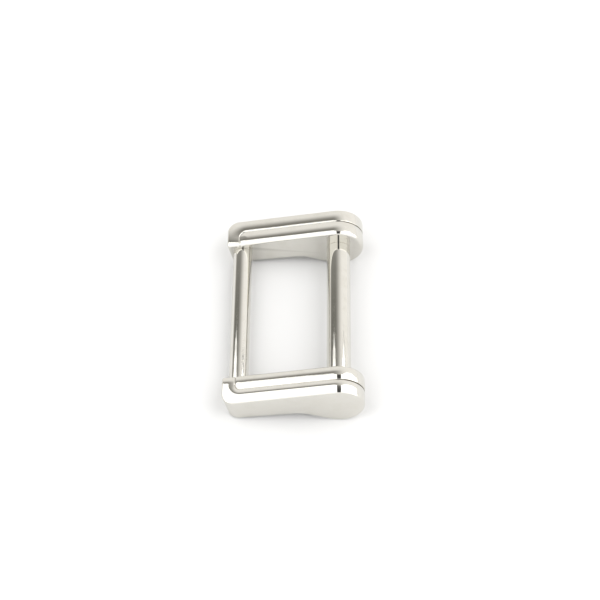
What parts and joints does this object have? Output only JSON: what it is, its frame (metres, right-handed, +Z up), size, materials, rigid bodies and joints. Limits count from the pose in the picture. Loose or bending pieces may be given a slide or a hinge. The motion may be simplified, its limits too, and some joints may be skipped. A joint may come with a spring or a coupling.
{
  "type": "strap slider buckle",
  "caption": "Rectangular strap slider with two shaped end cheeks joined by a thick and a thin cross post, for a 25 mm strap, in polished nickel finish.",
  "frame": {"origin": "middle of the slider's outline at the height of the table that it lies on", "axes": "+Z up from the table, X along the cheeks with the round lobes at +X, Y along the posts; the slider lies at its natural rest, on its lobes and the lower edges of its thin ends, so its top slopes about 12 degrees up towards +X"},
  "size_m": [0.0232, 0.0364, 0.0086],
  "materials": {
    "cheek_nickel": "nickel plate, polished to a mirror, on a cast zinc cheek",
    "post_nickel": "nickel plate, polished to a mirror, on drawn steel bar, with fine marks along the bar"
  },
  "bodies": {
    "root": {"front_cheek": "cheek_nickel", "rear_cheek": "cheek_nickel", "thick_post": "post_nickel", "thin_post": "post_nickel"}
  },
  "joints": []
}
